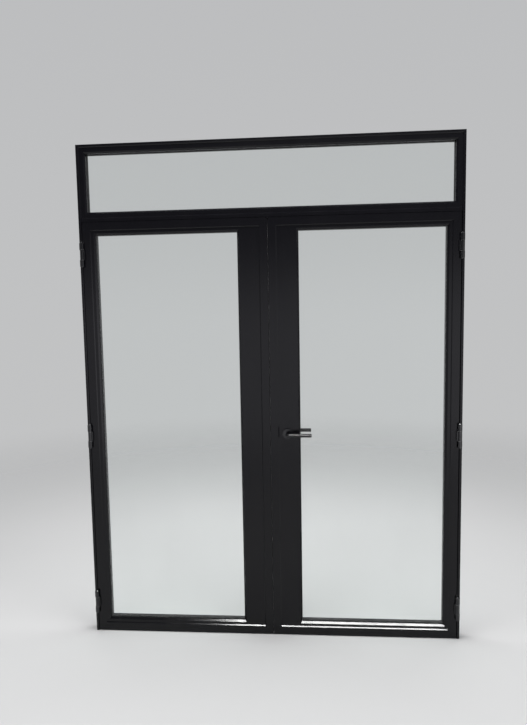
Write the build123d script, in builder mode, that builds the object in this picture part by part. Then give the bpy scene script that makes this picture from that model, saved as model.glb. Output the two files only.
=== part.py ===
from build123d import *
import math
import os

os.makedirs("parts", exist_ok=True)

# Glazed double entrance door in a metal frame with a fixed light above.
# X runs across, Y from the viewer's face into the room, Z up from the floor line.

# Frame
frame_width = 1880
frame_height = 2500
frame_depth = 52
wall = 2
edge_bevel = 4
frame_lip = 14
stop_reach = 43
stop_depth = 14
light_height = 374
bar_height = 19.5

# Leaves
leaf_gap = 2
meeting_gap = 3
meeting_relief = 1.5
floor_gap = 6
face_width = 42
panel_width = 84.5
panel_recess = 4
seal_space = 4
stop_clearance = 2

# Glazing
glass_thick = 8
leaf_glass_front = 16
gasket_thick = 3
gasket_width = 8.5
gasket_show = 1.5
bead_width = 21
bead_recess = 4
bead_bevel = 8
bead_wall = 1.5
glass_edge_gap = 6
clip_depth = 1.2
clip_width = 2.4
clip_front = 9
clip_play = 0.1
block_length = 90
block_depth = 10

# Seals
groove_front = 8
groove_width = 4
groove_depth = 5
seal_play = 0.2
fin_thick = 1.2
bottom_seal_lift = 0.8
meeting_seal_gap = 0.4
stop_seal_width = 8
stop_seal_gap = 0.3
stop_seal_inset = 12

# Corner cleats
cleat_leg = 90
cleat_near = 8.5
cleat_play = 0.5
cleat_front = 14.5
cleat_thick = 8
connector_length = 45
connector_play = 0.3

# Hinges
hinge_radius = 8.3
hinge_out = 9.5
hinge_foot_reach = 13
foot_play = 1.5
pin_radius = 4
pin_fit = 0.02
running_fit = 0.05
lower_knuckle = 33
middle_knuckle = 50
upper_knuckle = 33
knuckle_gap = 0.4
knuckle_end = 3
pin_end_play = 0.3
hinge_from_foot = 98
hinge_from_top = 102
middle_hinge_level = 988

# Wall fixings
fixing_radius = 4
fixing_depth = 20
fixing_from_foot = 240
fixing_lower_step = 700
fixing_from_top = 170
fixing_upper_step = 670

# Lever set
spindle_x = 85
spindle_level = 1056
rose_radius = 26.5
rose_height = 8
rose_wall = 2
rose_round = 2
lever_radius = 9.3
lever_stand = 46
lever_reach = 119
lever_bend = 12
lever_end_bevel = 1.5
neck_inset = 3
square_side = 8
square_play = 0.05
spindle_end_inset = 22
socket_play = 2
rose_bolt_spread = 19
rose_bolt_radius = 2.5
rose_bolt_hex = 5
bolt_hole_radius = 4
panel_hole_radius = 14

# Lock
forend_thick = 2
forend_setback = 1.1
forend_width = 20
forend_front = 16
forend_play = 0.1
edge_wall = 5.1
forend_below = 105
forend_above = 115
case_wall = 1.5
case_depth = 16
case_end = 28
case_below = 62
case_above = 68
case_play = 0.2
latch_raise = 28
latch_height = 22
latch_depth = 11.6
latch_out = 9.4
latch_head = 25.4
latch_slope = 9.8
latch_play = 0.2
tail_height = 10
tail_depth = 4
tail_end = 7.5
tab_width = 4
tab_drop = 10.5
hub_radius = 9
arm_length = 17
arm_width = 6
strike_height = 90
strike_play = 2
strike_side = 1

# Flush bolts
rod_radius = 4
rod_in = 20
rod_depth = 27.6
rod_setback = 1
bolt_centre = 180
bolt_plate_height = 120
guide_height = 8
guide_spread = 92
guide_back = 28
guide_play = 1
guide_side_play = 0.5
thumb_height = 10
thumb_width = 6
thumb_setback = 1.6
rod_tail = 56
top_throw = 18
bottom_throw = 13
slot_play = 1
keep_length = 56
keep_width = 16
keep_thick = 2
keep_hole = 4.6

# Allowances for cutting
past = 5
through = 1

# Derived
half_width = frame_width / 2
opening_height = frame_height - light_height
opening_half = half_width - frame_lip
stop_front = frame_depth - stop_depth
leaf_outer = opening_half - leaf_gap
leaf_inner = meeting_gap / 2
leaf_bottom = floor_gap
leaf_top = opening_height - leaf_gap
shoulder = stop_front - seal_space
back_start = stop_reach - frame_lip - leaf_gap + stop_clearance
flange = face_width + bead_width
bead_back = leaf_glass_front - gasket_thick
flange_front = leaf_glass_front + glass_thick + gasket_thick
panel_start = leaf_inner + face_width
panel_edge = panel_start + panel_width
bar_top = opening_height + bar_height
transom_glass_front = stop_front - gasket_thick - glass_thick
transom_bead_width = stop_reach - frame_lip
corner_step = wall * math.tan(math.radians(22.5))
middle_depth = frame_depth / 2
hinge_x = half_width - frame_lip - leaf_gap / 2
hinge_length = lower_knuckle + middle_knuckle + upper_knuckle
hinge_levels = (
    leaf_bottom + hinge_from_foot,
    middle_hinge_level,
    leaf_top - hinge_from_top - hinge_length,
)
fixing_levels = (
    fixing_from_foot,
    fixing_from_foot + fixing_lower_step,
    frame_height - fixing_from_top - fixing_upper_step,
    frame_height - fixing_from_top,
)


def wound(points):
    """Returns the points in anticlockwise order."""
    area = 0
    for start, end in zip(points, points[1:] + points[:1]):
        area += start[0] * end[1] - end[0] * start[1]
    return points if area > 0 else points[::-1]


def section(plane, outline, hollows=()):
    """Gives a flat section with its chambers, placed on a plane."""
    with BuildSketch(plane) as drawn:
        Polygon(*wound(outline), align=None)
        for hollow in hollows:
            Polygon(*wound(hollow), align=None, mode=Mode.SUBTRACT)
    return drawn.sketch


def front_view(points):
    """Gives a flat outline in the front view."""
    return section(Plane.XZ, points)


def block(low, high, mode=Mode.ADD):
    """Adds a box between two corners to the part that is open."""
    middle = tuple((a + b) / 2 for a, b in zip(low, high))
    size = tuple(b - a for a, b in zip(low, high))
    with Locations(middle):
        Box(*size, mode=mode)


def rod_y(x, z, start, end, radius, mode=Mode.ADD):
    """Adds a round bar along Y."""
    with Locations(Location((x, start, z), (-90, 0, 0))):
        Cylinder(radius, end - start, align=(Align.CENTER, Align.CENTER, Align.MIN), mode=mode)


def rod_z(x, y, start, end, radius, mode=Mode.ADD):
    """Adds a round bar along Z."""
    with Locations((x, y, start)):
        Cylinder(radius, end - start, align=(Align.CENTER, Align.CENTER, Align.MIN), mode=mode)


def save(piece, name):
    """Names a piece and writes its file."""
    piece.label = name
    export_step(piece, f"parts/{name}.step")


def across(piece):
    """Gives the same piece on the other leaf."""
    with BuildPart() as other:
        add(piece)
        mirror(about=Plane.YZ, mode=Mode.REPLACE)
    return other.part


# Sections, drawn from the outer edge of a member (0) towards the glass, then by depth
clip_groove = [
    (0, clip_front),
    (-clip_depth, clip_front),
    (-clip_depth, clip_front + clip_width),
    (0, clip_front + clip_width),
]


def clip_steps(edge):
    """Gives the clip groove's corners on a wall that ends at this edge."""
    return [(edge + step, depth) for step, depth in clip_groove]


rebated_outline = [
    (0, 0),
    (face_width - edge_bevel, 0),
    (face_width, edge_bevel),
    *clip_steps(face_width),
    (face_width, flange_front),
    (flange, flange_front),
    (flange, frame_depth),
    (back_start, frame_depth),
    (back_start, shoulder),
    (0, shoulder),
]
front_chamber = [
    (wall, wall),
    (face_width - edge_bevel - corner_step, wall),
    (face_width - wall, edge_bevel + corner_step),
    (face_width - wall, shoulder - wall),
    (wall, shoulder - wall),
]
back_chamber = [
    (back_start + wall, shoulder),
    (face_width, shoulder),
    (face_width, flange_front + wall),
    (flange - wall, flange_front + wall),
    (flange - wall, frame_depth - wall),
    (back_start + wall, frame_depth - wall),
]
groove_back = groove_front + groove_width
square_outline = [
    (0, 0),
    (face_width - edge_bevel, 0),
    (face_width, edge_bevel),
    *clip_steps(face_width),
    (face_width, flange_front),
    (flange, flange_front),
    (flange, frame_depth),
    (0, frame_depth),
    (0, groove_back),
    (groove_depth, groove_back),
    (groove_depth, groove_front),
    (0, groove_front),
]
square_chamber = [
    (wall, wall),
    (face_width - edge_bevel - corner_step, wall),
    (face_width - wall, edge_bevel + corner_step),
    (face_width - wall, flange_front + wall),
    (flange - wall, flange_front + wall),
    (flange - wall, frame_depth - wall),
    (wall, frame_depth - wall),
    (wall, groove_back + wall),
    (groove_depth + wall, groove_back + wall),
    (groove_depth + wall, groove_front - wall),
    (wall, groove_front - wall),
]
edge_slope = meeting_relief / frame_depth
inner_edge = wall + meeting_relief
meeting_outline = [
    (0, 0),
    (face_width - edge_bevel, 0),
    (face_width, edge_bevel),
    (face_width, frame_depth),
    (meeting_relief, frame_depth),
    (edge_slope * groove_back, groove_back),
    (groove_depth, groove_back),
    (groove_depth, groove_front),
    (edge_slope * groove_front, groove_front),
]
meeting_chamber = [
    (inner_edge, wall),
    (face_width - edge_bevel - corner_step, wall),
    (face_width - wall, edge_bevel + corner_step),
    (face_width - wall, frame_depth - wall),
    (inner_edge, frame_depth - wall),
    (inner_edge, stop_front),
    (edge_wall, stop_front),
    (edge_wall, groove_back + wall),
    (groove_depth + wall, groove_back + wall),
    (groove_depth + wall, groove_front - wall),
    (inner_edge, groove_front - wall),
]
panel_back = frame_depth - panel_recess
panel_flange = panel_width + bead_width
panel_outline = [
    (0, panel_recess),
    (panel_width, panel_recess),
    *clip_steps(panel_width),
    (panel_width, flange_front),
    (panel_flange, flange_front),
    (panel_flange, panel_back),
    (0, panel_back),
]
panel_chamber = [
    (wall, panel_recess + wall),
    (panel_width - wall, panel_recess + wall),
    (panel_width - wall, flange_front + wall),
    (panel_flange - wall, flange_front + wall),
    (panel_flange - wall, panel_back - wall),
    (wall, panel_back - wall),
]
frame_outline = [
    (0, 0),
    (frame_lip - edge_bevel, 0),
    (frame_lip, edge_bevel),
    (frame_lip, stop_front),
    (stop_reach, stop_front),
    (stop_reach, frame_depth),
    (0, frame_depth),
]
frame_front_chamber = [
    (wall, wall),
    (frame_lip - edge_bevel - corner_step, wall),
    (frame_lip - wall, edge_bevel + corner_step),
    (frame_lip - wall, stop_front),
    (wall, stop_front),
]
frame_back_chamber = [
    (wall, stop_front + wall),
    (stop_reach - wall, stop_front + wall),
    (stop_reach - wall, frame_depth - wall),
    (wall, frame_depth - wall),
]


def upright(outline, hollows, edge, low, high):
    """Extrudes a section up the right-hand side, its outer edge at this X."""
    flat = [[(edge - u, y) for u, y in points] for points in (outline, *hollows)]
    extrude(section(Plane.XY.offset(low), flat[0], flat[1:]), amount=high - low)


def upright_from(outline, hollows, edge, low, high):
    """Extrudes a section whose outer edge faces the centre of the door."""
    flat = [[(edge + u, y) for u, y in points] for points in (outline, *hollows)]
    extrude(section(Plane.XY.offset(low), flat[0], flat[1:]), amount=high - low)


def level_down(outline, hollows, edge, start, end):
    """Extrudes a section across, its outer edge on top."""
    flat = [[(y, edge - u) for u, y in points] for points in (outline, *hollows)]
    extrude(section(Plane.YZ.offset(start), flat[0], flat[1:]), amount=end - start)


def level_up(outline, hollows, edge, start, end):
    """Extrudes a section across, its outer edge below."""
    flat = [[(y, edge + u) for u, y in points] for points in (outline, *hollows)]
    extrude(section(Plane.YZ.offset(start), flat[0], flat[1:]), amount=end - start)


def trim_to(points):
    """Keeps what lies inside a front-view outline."""
    extrude(front_view(points), amount=frame_depth * 2, both=True, mode=Mode.INTERSECT)


# Frame jambs and head, mitred at the top corners
mitre = stop_reach + past

with BuildPart() as jamb_right:
    upright(frame_outline, (frame_front_chamber, frame_back_chamber), half_width, 0, frame_height)
    trim_to(
        [
            (half_width + past, -past),
            (half_width + past, frame_height + past),
            (half_width - mitre, frame_height - mitre),
            (half_width - mitre, -past),
        ]
    )
    for level in fixing_levels:
        with Locations(Location((opening_half - past, fixing_depth, level), (0, 90, 0))):
            Cylinder(
                fixing_radius,
                frame_lip + 2 * past,
                align=(Align.CENTER, Align.CENTER, Align.MIN),
                mode=Mode.SUBTRACT,
            )

save(jamb_right.part, "jamb_right")
save(across(jamb_right.part), "jamb_left")

with BuildPart() as frame_head:
    level_down(
        frame_outline,
        (frame_front_chamber, frame_back_chamber),
        frame_height,
        -half_width,
        half_width,
    )
    trim_to(
        [
            (half_width + past, frame_height + past),
            (half_width - mitre, frame_height - mitre),
            (mitre - half_width, frame_height - mitre),
            (-half_width - past, frame_height + past),
        ]
    )

save(frame_head.part, "frame_head")

# Transom bar between the jambs, with the keep window for the flush bolt
stop_edge = half_width - stop_reach
bar_stop_top = bar_top + transom_bead_width
bar_stop_bottom = opening_height - transom_bead_width

with BuildPart() as transom_bar:
    extrude(
        section(
            Plane.YZ.offset(-opening_half),
            [
                (0, opening_height),
                (0, bar_top - edge_bevel),
                (edge_bevel, bar_top),
                (stop_front, bar_top),
                (stop_front, bar_stop_top),
                (frame_depth, bar_stop_top),
                (frame_depth, bar_stop_bottom),
                (stop_front, bar_stop_bottom),
                (stop_front, opening_height),
            ],
            (
                [
                    (wall, opening_height + wall),
                    (wall, bar_top - edge_bevel - corner_step),
                    (edge_bevel + corner_step, bar_top - wall),
                    (stop_front, bar_top - wall),
                    (stop_front, opening_height + wall),
                ],
                [
                    (stop_front + wall, bar_stop_top - wall),
                    (frame_depth - wall, bar_stop_top - wall),
                    (frame_depth - wall, bar_stop_bottom + wall),
                    (stop_front + wall, bar_stop_bottom + wall),
                ],
            ),
        ),
        amount=2 * opening_half,
    )
    for side in (-1, 1):
        ends = sorted((side * stop_edge, side * (opening_half + past)))
        block(
            (ends[0], stop_front, bar_stop_bottom - past),
            (ends[1], frame_depth + past, bar_stop_top + past),
            mode=Mode.SUBTRACT,
        )
    block(
        (
            -leaf_inner - rod_in - keep_length / 2,
            rod_depth - keep_width / 2,
            opening_height - past,
        ),
        (
            -leaf_inner - rod_in + keep_length / 2,
            rod_depth + keep_width / 2,
            opening_height + wall,
        ),
        mode=Mode.SUBTRACT,
    )

save(transom_bar.part, "transom_bar")

with BuildPart() as bolt_keep:
    block(
        (
            -leaf_inner - rod_in - keep_length / 2 + forend_play,
            rod_depth - keep_width / 2 + forend_play,
            opening_height,
        ),
        (
            -leaf_inner - rod_in + keep_length / 2 - forend_play,
            rod_depth + keep_width / 2 - forend_play,
            opening_height + keep_thick,
        ),
    )
    rod_z(
        -leaf_inner - rod_in,
        rod_depth,
        opening_height - past,
        opening_height + past,
        keep_hole,
        mode=Mode.SUBTRACT,
    )

save(bolt_keep.part, "bolt_keep")

# Corner cleats of the frame and the connectors of the transom bar
near = wall + cleat_play
far = stop_reach - wall - cleat_play
back_front = stop_front + wall + cleat_play
back_end = frame_depth - wall - cleat_play

with BuildPart() as frame_cleats:
    for side in (-1, 1):
        corner = [
            (near, near),
            (cleat_leg, near),
            (cleat_leg, far),
            (far, far),
            (far, cleat_leg),
            (near, cleat_leg),
        ]
        extrude(
            section(
                Plane.XZ.offset(-back_front),
                [(side * (half_width - u), frame_height - v) for u, v in corner],
            ),
            amount=back_front - back_end,
        )
        ends = sorted((side * opening_half, side * (opening_half - connector_length)))
        block(
            (
                ends[0],
                edge_bevel + wall + connector_play,
                opening_height + wall + connector_play,
            ),
            (
                ends[1],
                stop_front - connector_play,
                bar_top - wall - connector_play,
            ),
        )

save(frame_cleats.part, "frame_cleats")

# Fixed glass above the bar, its beads, gaskets and blocks
pane_left = half_width - frame_lip
pane_bottom = bar_top
pane_top = frame_height - frame_lip
transom_bead_back = transom_glass_front - gasket_thick


def bead_section(width, back):
    """Gives a hollow bevelled bead with its clip rib, from the frame side to the glass."""
    slope_step = bead_wall * math.tan(math.radians(22.5))
    outline = [
        (0, bead_recess),
        (width - bead_bevel, bead_recess),
        (width, bead_recess + bead_bevel),
        (width, back),
        (0, back),
    ]
    hollow = [
        (bead_wall, bead_recess + bead_wall),
        (width - bead_bevel - slope_step, bead_recess + bead_wall),
        (width - bead_wall, bead_recess + bead_bevel + slope_step),
        (width - bead_wall, back - bead_wall),
        (bead_wall, back - bead_wall),
    ]
    if bead_recess + bead_bevel + slope_step > back - bead_wall:
        cut = back - bead_wall - bead_recess - bead_wall
        hollow = [
            (bead_wall, bead_recess + bead_wall),
            (width - bead_bevel - slope_step, bead_recess + bead_wall),
            (width - bead_bevel - slope_step + cut, back - bead_wall),
            (bead_wall, back - bead_wall),
        ]
    return outline, hollow


def clip_rib(edge):
    """Gives the rib that snaps behind the groove."""
    return [
        (edge, clip_front + clip_play),
        (edge - clip_depth + clip_play, clip_front + clip_play),
        (edge - clip_depth + clip_play, clip_front + clip_width - clip_play),
        (edge, clip_front + clip_width - clip_play),
    ]


def with_rib(outline):
    """Puts the clip rib on a bead's outline."""
    return outline + clip_rib(0)[::-1]


transom_outline, transom_hollow = bead_section(transom_bead_width, transom_bead_back)
deep = transom_bead_width + past

with BuildPart() as transom_bead_top:
    level_down(transom_outline, (transom_hollow,), pane_top, -pane_left, pane_left)
    trim_to(
        [
            (pane_left + past, pane_top + past),
            (pane_left - deep, pane_top - deep),
            (deep - pane_left, pane_top - deep),
            (-pane_left - past, pane_top + past),
        ]
    )

save(transom_bead_top.part, "transom_bead_top")

with BuildPart() as transom_bead_bottom:
    level_up(transom_outline, (transom_hollow,), pane_bottom, -pane_left, pane_left)
    trim_to(
        [
            (pane_left + past, pane_bottom - past),
            (pane_left - deep, pane_bottom + deep),
            (deep - pane_left, pane_bottom + deep),
            (-pane_left - past, pane_bottom - past),
        ]
    )

save(transom_bead_bottom.part, "transom_bead_bottom")

with BuildPart() as transom_bead_right:
    upright(transom_outline, (transom_hollow,), pane_left, pane_bottom, pane_top)
    trim_to(
        [
            (pane_left + past, pane_bottom - past),
            (pane_left - deep, pane_bottom + deep),
            (pane_left - deep, pane_top - deep),
            (pane_left + past, pane_top + past),
        ]
    )

save(transom_bead_right.part, "transom_bead_right")
save(across(transom_bead_right.part), "transom_bead_left")


def slab(left, right, bottom, top, front, back, mode=Mode.ADD):
    """Adds a flat rectangle of this depth."""
    block((left, front, bottom), (right, back, top), mode=mode)


def ring(left, right, bottom, top, width, front, back):
    """Adds a rectangular ring, drawn from its outer edge inwards."""
    with BuildSketch(Plane.XZ.offset(-front)) as drawn:
        with Locations(((left + right) / 2, (bottom + top) / 2)):
            Rectangle(right - left, top - bottom)
            Rectangle(right - left - 2 * width, top - bottom - 2 * width, mode=Mode.SUBTRACT)
    extrude(drawn.sketch, amount=front - back)


with BuildPart() as transom_glass:
    slab(
        glass_edge_gap - pane_left,
        pane_left - glass_edge_gap,
        pane_bottom + glass_edge_gap,
        pane_top - glass_edge_gap,
        transom_glass_front,
        transom_glass_front + glass_thick,
    )

save(transom_glass.part, "transom_glass")

gasket_start = transom_bead_width + gasket_show - gasket_width

with BuildPart() as transom_gaskets:
    for front in (transom_bead_back, stop_front - gasket_thick):
        ring(
            gasket_start - pane_left,
            pane_left - gasket_start,
            pane_bottom + gasket_start,
            pane_top - gasket_start,
            gasket_width,
            front,
            front + gasket_thick,
        )

save(transom_gaskets.part, "transom_gaskets")

block_front = transom_glass_front + glass_thick / 2 - block_depth / 2

with BuildPart() as transom_setting_blocks:
    for side in (-1, 1):
        middle = side * pane_left / 2
        slab(
            middle - block_length / 2,
            middle + block_length / 2,
            pane_bottom,
            pane_bottom + glass_edge_gap,
            block_front,
            block_front + block_depth,
        )

save(transom_setting_blocks.part, "transom_setting_blocks")

# Rebate seal on the frame's stops
seal_out = opening_half - stop_seal_inset
seal_top = opening_height - stop_seal_inset

with BuildPart() as stop_seals:
    for side in (-1, 1):
        extrude(
            section(
                Plane.XZ.offset(-shoulder - stop_seal_gap),
                [
                    (side * seal_out, wall),
                    (side * seal_out, seal_top),
                    (side * (seal_out - stop_seal_width), seal_top - stop_seal_width),
                    (side * (seal_out - stop_seal_width), wall),
                ],
            ),
            amount=stop_seal_gap - seal_space,
        )
    extrude(
        section(
            Plane.XZ.offset(-shoulder - stop_seal_gap),
            [
                (-seal_out, seal_top),
                (seal_out, seal_top),
                (seal_out - stop_seal_width, seal_top - stop_seal_width),
                (stop_seal_width - seal_out, seal_top - stop_seal_width),
            ],
        ),
        amount=stop_seal_gap - seal_space,
    )

save(stop_seals.part, "stop_seals")

# Three-part hinges: outer knuckles on the frame, middle knuckle on the leaf


def knuckle(x, low, high, toward, bore, bore_low, bore_high):
    """Adds one knuckle with its foot, which reaches to this side, and bores it for the pin."""
    rod_z(x, -hinge_out, low, high, hinge_radius)
    foot = sorted((x + toward * foot_play, x + toward * hinge_foot_reach))
    block((foot[0], -hinge_out, low), (foot[1], 0, high))
    rod_z(x, -hinge_out, bore_low, bore_high, bore, mode=Mode.SUBTRACT)


with BuildPart() as hinge_frame_knuckles:
    for side in (-1, 1):
        for level in hinge_levels:
            lower_end = level + lower_knuckle - knuckle_gap
            upper_start = level + lower_knuckle + middle_knuckle
            upper_end = level + hinge_length
            knuckle(
                side * hinge_x,
                level,
                lower_end,
                side,
                pin_radius + pin_fit,
                level + knuckle_end,
                lower_end + past,
            )
            knuckle(
                side * hinge_x,
                upper_start,
                upper_end,
                side,
                pin_radius + pin_fit,
                upper_start - past,
                upper_end - knuckle_end,
            )

save(hinge_frame_knuckles.part, "hinge_frame_knuckles")

with BuildPart() as hinge_pins:
    for side in (-1, 1):
        for level in hinge_levels:
            rod_z(
                side * hinge_x,
                -hinge_out,
                level + knuckle_end,
                level + hinge_length - knuckle_end - pin_end_play,
                pin_radius,
            )

save(hinge_pins.part, "hinge_pins")

with BuildPart() as right_hinge_knuckles:
    for level in hinge_levels:
        middle_start = level + lower_knuckle
        middle_end = middle_start + middle_knuckle - knuckle_gap
        knuckle(
            hinge_x,
            middle_start,
            middle_end,
            -1,
            pin_radius + running_fit,
            middle_start - past,
            middle_end + past,
        )

save(right_hinge_knuckles.part, "right_hinge_knuckles")
save(across(right_hinge_knuckles.part), "left_hinge_knuckles")

# Leaf members, mitred in the front view
long = flange + past

with BuildPart() as hinge_stile:
    upright(rebated_outline, (front_chamber, back_chamber), leaf_outer, leaf_bottom, leaf_top)
    trim_to(
        [
            (leaf_outer + past, leaf_bottom - past),
            (leaf_outer - long, leaf_bottom + long),
            (leaf_outer - long, leaf_top - long),
            (leaf_outer + past, leaf_top + past),
        ]
    )

save(hinge_stile.part, "right_hinge_stile")
save(across(hinge_stile.part), "left_hinge_stile")

with BuildPart() as top_rail:
    level_down(rebated_outline, (front_chamber, back_chamber), leaf_top, leaf_inner, leaf_outer)
    trim_to(
        [
            (leaf_outer + past, leaf_top + past),
            (leaf_outer - long, leaf_top - long),
            (panel_start, leaf_top - long),
            (panel_start, leaf_top - face_width),
            (leaf_inner - past, leaf_top + past),
        ]
    )

save(top_rail.part, "right_top_rail")

with BuildPart() as left_top_rail:
    add(across(top_rail.part))
    rod_z(
        -leaf_inner - rod_in,
        rod_depth,
        leaf_top - wall - through,
        leaf_top + past,
        rod_radius + running_fit,
        mode=Mode.SUBTRACT,
    )

save(left_top_rail.part, "left_top_rail")

with BuildPart() as bottom_rail:
    level_up(square_outline, (square_chamber,), leaf_bottom, leaf_inner, leaf_outer)
    trim_to(
        [
            (leaf_outer + past, leaf_bottom - past),
            (leaf_outer - long, leaf_bottom + long),
            (panel_start, leaf_bottom + long),
            (panel_start, leaf_bottom + face_width),
            (leaf_inner - past, leaf_bottom - past),
        ]
    )
    block(
        (leaf_outer - back_start, shoulder, leaf_bottom - past),
        (leaf_outer + past, frame_depth + past, leaf_bottom + long),
        mode=Mode.SUBTRACT,
    )

save(bottom_rail.part, "right_bottom_rail")

with BuildPart() as left_bottom_rail:
    add(across(bottom_rail.part))
    rod_z(
        -leaf_inner - rod_in,
        rod_depth,
        leaf_bottom - past,
        leaf_bottom + wall + through,
        rod_radius + running_fit,
        mode=Mode.SUBTRACT,
    )

save(left_bottom_rail.part, "left_bottom_rail")

# Meeting stiles, cut out for the lock on one leaf and its strike and bolts on the other
forend_back = forend_front + forend_width
recess_depth = forend_setback + forend_thick
case_front = middle_depth - case_depth / 2
case_back = middle_depth + case_depth / 2
latch_level = spindle_level + latch_raise

with BuildPart() as plain_meeting_stile:
    upright_from(meeting_outline, (meeting_chamber,), leaf_inner, leaf_bottom, leaf_top)
    trim_to(
        [
            (leaf_inner - past, leaf_bottom - past),
            (panel_start + past, leaf_bottom + face_width + past),
            (panel_start + past, leaf_top - face_width - past),
            (leaf_inner - past, leaf_top + past),
        ]
    )
    block(
        (leaf_inner - past, shoulder, leaf_top - back_start),
        (panel_start + past, frame_depth + past, leaf_top + past),
        mode=Mode.SUBTRACT,
    )


def edge_recess(low, high, side=1):
    """Cuts the shallow recess for a plate in the meeting edge."""
    ends = sorted((side * (leaf_inner - past), side * (leaf_inner + recess_depth)))
    block(
        (ends[0], forend_front - forend_play, low - forend_play),
        (ends[1], forend_back + forend_play, high + forend_play),
        mode=Mode.SUBTRACT,
    )


with BuildPart() as right_meeting_stile:
    add(plain_meeting_stile.part)
    edge_recess(spindle_level - forend_below, spindle_level + forend_above)
    block(
        (leaf_inner, case_front - case_play, spindle_level - case_below - case_play),
        (panel_start + past, case_back + case_play, spindle_level + case_above + case_play),
        mode=Mode.SUBTRACT,
    )

save(right_meeting_stile.part, "right_meeting_stile")

top_bolt_level = leaf_top - bolt_centre
bottom_bolt_level = leaf_bottom + bolt_centre
strike_low = latch_level - strike_height / 2
strike_high = latch_level + strike_height / 2
latch_front = middle_depth - latch_depth / 2
latch_back = middle_depth + latch_depth / 2
latch_low = latch_level - latch_height / 2
latch_high = latch_level + latch_height / 2

with BuildPart() as left_meeting_stile:
    add(across(plain_meeting_stile.part))
    edge_recess(strike_low, strike_high, side=-1)
    block(
        (
            -leaf_inner - edge_wall - through,
            latch_front - strike_play,
            latch_low - strike_play,
        ),
        (0, latch_back + strike_play, latch_high + strike_play),
        mode=Mode.SUBTRACT,
    )
    for level in (top_bolt_level, bottom_bolt_level):
        low = level - bolt_plate_height / 2
        high = level + bolt_plate_height / 2
        edge_recess(low, high, side=-1)
        block(
            (
                -leaf_inner - edge_wall - through,
                forend_front + case_wall,
                level - guide_spread / 2 - guide_height / 2 - guide_play,
            ),
            (
                0,
                forend_back - case_wall,
                level + guide_spread / 2 + guide_height / 2 + guide_play,
            ),
            mode=Mode.SUBTRACT,
        )

save(left_meeting_stile.part, "left_meeting_stile")

# Lock panels beside the meeting stiles
flange_bottom = leaf_bottom + flange
flange_top = leaf_top - flange

with BuildPart() as plain_lock_panel:
    upright_from(
        panel_outline,
        (panel_chamber,),
        panel_start,
        leaf_bottom + face_width,
        leaf_top - face_width,
    )
    for low, high in ((leaf_bottom, flange_bottom), (flange_top, leaf_top)):
        block(
            (panel_start - past, flange_front, low),
            (panel_edge + long, frame_depth + past, high),
            mode=Mode.SUBTRACT,
        )

save(across(plain_lock_panel.part), "left_lock_panel")

with BuildPart() as right_lock_panel:
    add(plain_lock_panel.part)
    block(
        (
            panel_start - past,
            case_front - case_play,
            spindle_level - case_below - case_play,
        ),
        (
            panel_start + wall + through,
            case_back + case_play,
            spindle_level + case_above + case_play,
        ),
        mode=Mode.SUBTRACT,
    )
    rod_y(spindle_x, spindle_level, 0, frame_depth, panel_hole_radius, mode=Mode.SUBTRACT)
    for side in (-1, 1):
        rod_y(
            spindle_x + side * rose_bolt_spread,
            spindle_level,
            0,
            frame_depth,
            bolt_hole_radius,
            mode=Mode.SUBTRACT,
        )

save(right_lock_panel.part, "right_lock_panel")

# Leaf glass with its beads, gaskets and setting blocks
glaze_left = panel_edge
glaze_right = leaf_outer - face_width
glaze_bottom = leaf_bottom + face_width
glaze_top = leaf_top - face_width
bead_outline, bead_hollow = bead_section(bead_width, bead_back)
bead_outline = with_rib(bead_outline)
reach = bead_width + past

with BuildPart() as bead_top:
    level_down(bead_outline, (bead_hollow,), glaze_top, glaze_left - past, glaze_right + past)
    trim_to(
        [
            (glaze_right + past, glaze_top + past),
            (glaze_right - reach, glaze_top - reach),
            (glaze_left + reach, glaze_top - reach),
            (glaze_left - past, glaze_top + past),
        ]
    )

save(bead_top.part, "right_bead_top")
save(across(bead_top.part), "left_bead_top")

with BuildPart() as bead_bottom:
    level_up(bead_outline, (bead_hollow,), glaze_bottom, glaze_left - past, glaze_right + past)
    trim_to(
        [
            (glaze_right + past, glaze_bottom - past),
            (glaze_right - reach, glaze_bottom + reach),
            (glaze_left + reach, glaze_bottom + reach),
            (glaze_left - past, glaze_bottom - past),
        ]
    )

save(bead_bottom.part, "right_bead_bottom")
save(across(bead_bottom.part), "left_bead_bottom")

with BuildPart() as bead_hinge:
    upright(bead_outline, (bead_hollow,), glaze_right, glaze_bottom - past, glaze_top + past)
    trim_to(
        [
            (glaze_right + past, glaze_bottom - past),
            (glaze_right - reach, glaze_bottom + reach),
            (glaze_right - reach, glaze_top - reach),
            (glaze_right + past, glaze_top + past),
        ]
    )

save(bead_hinge.part, "right_bead_hinge")
save(across(bead_hinge.part), "left_bead_hinge")

with BuildPart() as bead_lock:
    upright_from(bead_outline, (bead_hollow,), glaze_left, glaze_bottom - past, glaze_top + past)
    trim_to(
        [
            (glaze_left - past, glaze_bottom - past),
            (glaze_left + reach, glaze_bottom + reach),
            (glaze_left + reach, glaze_top - reach),
            (glaze_left - past, glaze_top + past),
        ]
    )

save(bead_lock.part, "right_bead_lock")
save(across(bead_lock.part), "left_bead_lock")

with BuildPart() as leaf_glass:
    slab(
        glaze_left + glass_edge_gap,
        glaze_right - glass_edge_gap,
        glaze_bottom + glass_edge_gap,
        glaze_top - glass_edge_gap,
        leaf_glass_front,
        leaf_glass_front + glass_thick,
    )

save(leaf_glass.part, "right_glass")
save(across(leaf_glass.part), "left_glass")

gasket_inset = bead_width + gasket_show - gasket_width

with BuildPart() as leaf_gaskets:
    for front in (bead_back, flange_front - gasket_thick):
        ring(
            glaze_left + gasket_inset,
            glaze_right - gasket_inset,
            glaze_bottom + gasket_inset,
            glaze_top - gasket_inset,
            gasket_width,
            front,
            front + gasket_thick,
        )

save(leaf_gaskets.part, "right_gaskets")
save(across(leaf_gaskets.part), "left_gaskets")

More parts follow.
